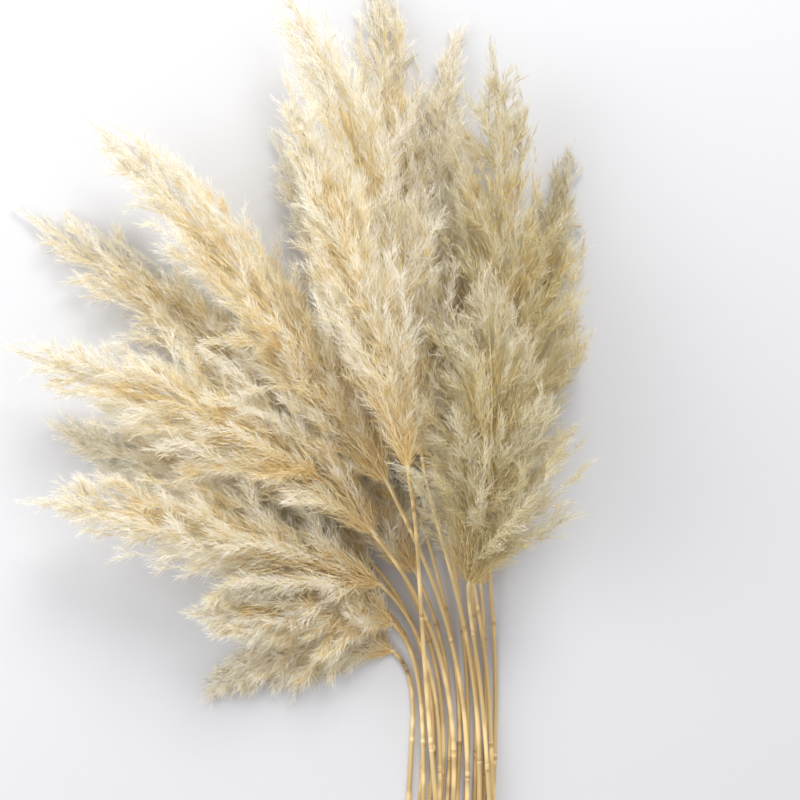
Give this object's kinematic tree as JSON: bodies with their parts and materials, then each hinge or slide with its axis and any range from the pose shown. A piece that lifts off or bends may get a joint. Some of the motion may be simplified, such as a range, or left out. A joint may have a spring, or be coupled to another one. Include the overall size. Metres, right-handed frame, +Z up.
{
  "type": "bundle of dried pampas grass",
  "caption": "Fanned bunch of dried pampas grass lying on a surface: soft feathery plumes on straw stems gathered side by side, cut ends free.",
  "frame": {"origin": "middle of the bunch's bounding box, on the surface it lies on", "axes": "+Z up from the surface, +Y from the cut ends towards the plumes, +X to the right of the fan seen from above"},
  "size_m": [0.5576, 0.9436, 0.1799],
  "materials": {
    "straw_stem": "dry ribbed straw, dull satin",
    "plume_cream": "bleached silky hairs, matte with soft sheen",
    "plume_tan": "natural tan silky hairs, matte with soft sheen"
  },
  "bodies": {
    "root": {"stem_01": "straw_stem", "stem_02": "straw_stem", "stem_03": "straw_stem", "stem_04": "straw_stem", "stem_05": "straw_stem", "stem_06": "straw_stem", "stem_07": "straw_stem", "stem_08": "straw_stem", "stem_09": "straw_stem", "stem_10": "straw_stem", "stem_11": "straw_stem", "stem_12": "straw_stem", "stem_13": "straw_stem", "stem_14": "straw_stem", "stem_15": "straw_stem", "stem_16": "straw_stem", "stem_17": "straw_stem", "stem_18": "straw_stem", "plume_01": "plume_cream", "plume_02": "plume_cream", "plume_03": "plume_cream", "plume_04": "plume_cream", "plume_05": "plume_cream", "plume_06": "plume_cream", "plume_07": "plume_cream", "plume_08": "plume_cream", "plume_09": "plume_cream", "plume_10": "plume_cream", "plume_11": "plume_cream", "plume_12": "plume_cream", "plume_13": "plume_cream", "plume_14": "plume_cream", "plume_15": "plume_cream", "plume_16": "plume_tan", "plume_17": "plume_tan", "plume_18": "plume_tan"}
  },
  "joints": []
}
